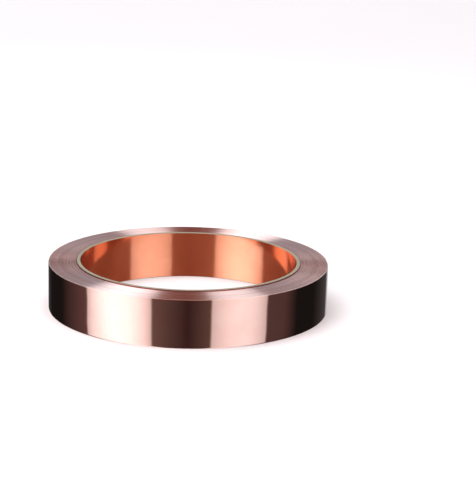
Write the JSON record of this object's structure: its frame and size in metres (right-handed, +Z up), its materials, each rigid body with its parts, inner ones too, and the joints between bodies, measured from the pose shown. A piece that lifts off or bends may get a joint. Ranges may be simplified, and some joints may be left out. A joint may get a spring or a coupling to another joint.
{
  "type": "copper foil tape roll",
  "caption": "Flat roll of adhesive-backed copper foil tape with a paper release liner, wound on a foil-lined paperboard core with an open bore.",
  "frame": {"origin": "on the roll's axis at the lower end of the core, where the roll stands", "axes": "+Z up along the roll's axis; +X towards the side where the tape's free end stops; the free end is wound counter-clockwise inward from its tip, seen from above"},
  "size_m": [0.0984, 0.0985, 0.017],
  "materials": {
    "copper_foil": "mirror-bright rolled copper foil",
    "wound_tape": "slit edges of wound foil, satin, fine concentric lines",
    "bore_foil": "bright copper foil",
    "adhesive": "tacky clear acrylic coat",
    "release_liner": "smooth silicone-coated paper",
    "paperboard": "matte spiral-wound board",
    "tack_strip": "thin double-sided film"
  },
  "bodies": {
    "roll": {"core_tube": "paperboard", "bore_lining": "bore_foil", "core_tack_strip": "tack_strip", "wound_pack": "wound_tape", "last_turn_foil": "copper_foil", "last_turn_adhesive": "adhesive", "last_turn_liner": "release_liner"},
    "free_end_1": {"free_end_1_foil": "copper_foil", "free_end_1_adhesive": "adhesive", "free_end_1_liner": "release_liner"},
    "free_end_2": {"free_end_2_foil": "copper_foil", "free_end_2_adhesive": "adhesive", "free_end_2_liner": "release_liner"},
    "free_end_3": {"free_end_3_foil": "copper_foil", "free_end_3_adhesive": "adhesive", "free_end_3_liner": "release_liner"},
    "free_end_4": {"free_end_4_foil": "copper_foil", "free_end_4_adhesive": "adhesive", "free_end_4_liner": "release_liner"},
    "free_end_5": {"free_end_5_foil": "copper_foil", "free_end_5_adhesive": "adhesive"},
    "liner_flap": {"liner_pull_flap": "release_liner"}
  },
  "joints": [
    {"name": "free_end_lift", "type": "hinge", "parent": "roll", "child": "free_end_1", "pos_m": [0.0077, 0.04859, 0.0085], "axis": [0, 0, 1], "range_deg": [0, 8]},
    {"name": "free_end_bend_2", "type": "hinge", "parent": "free_end_1", "child": "free_end_2", "pos_m": [0.02001, 0.04495, 0.0085], "axis": [0, 0, 1], "range_deg": [0, 16]},
    {"name": "free_end_bend_3", "type": "hinge", "parent": "free_end_2", "child": "free_end_3", "pos_m": [0.03097, 0.03824, 0.0085], "axis": [0, 0, 1], "range_deg": [0, 16]},
    {"name": "free_end_bend_4", "type": "hinge", "parent": "free_end_3", "child": "free_end_4", "pos_m": [0.03982, 0.02893, 0.0085], "axis": [0, 0, 1], "range_deg": [0, 16]},
    {"name": "free_end_bend_5", "type": "hinge", "parent": "free_end_4", "child": "free_end_5", "pos_m": [0.04595, 0.01764, 0.0085], "axis": [0, 0, 1], "range_deg": [0, 16]},
    {"name": "liner_peel", "type": "hinge", "parent": "free_end_5", "child": "liner_flap", "pos_m": [0.04591, 0.01762, 0.0085], "axis": [0, 0, 1], "range_deg": [-48, 0]}
  ],
  "couplings": [
    {"joint": "free_end_bend_2", "follows": "free_end_lift", "ratio": 2},
    {"joint": "free_end_bend_3", "follows": "free_end_lift", "ratio": 2},
    {"joint": "free_end_bend_4", "follows": "free_end_lift", "ratio": 2},
    {"joint": "free_end_bend_5", "follows": "free_end_lift", "ratio": 2},
    {"joint": "liner_peel", "follows": "free_end_lift", "ratio": -6}
  ]
}
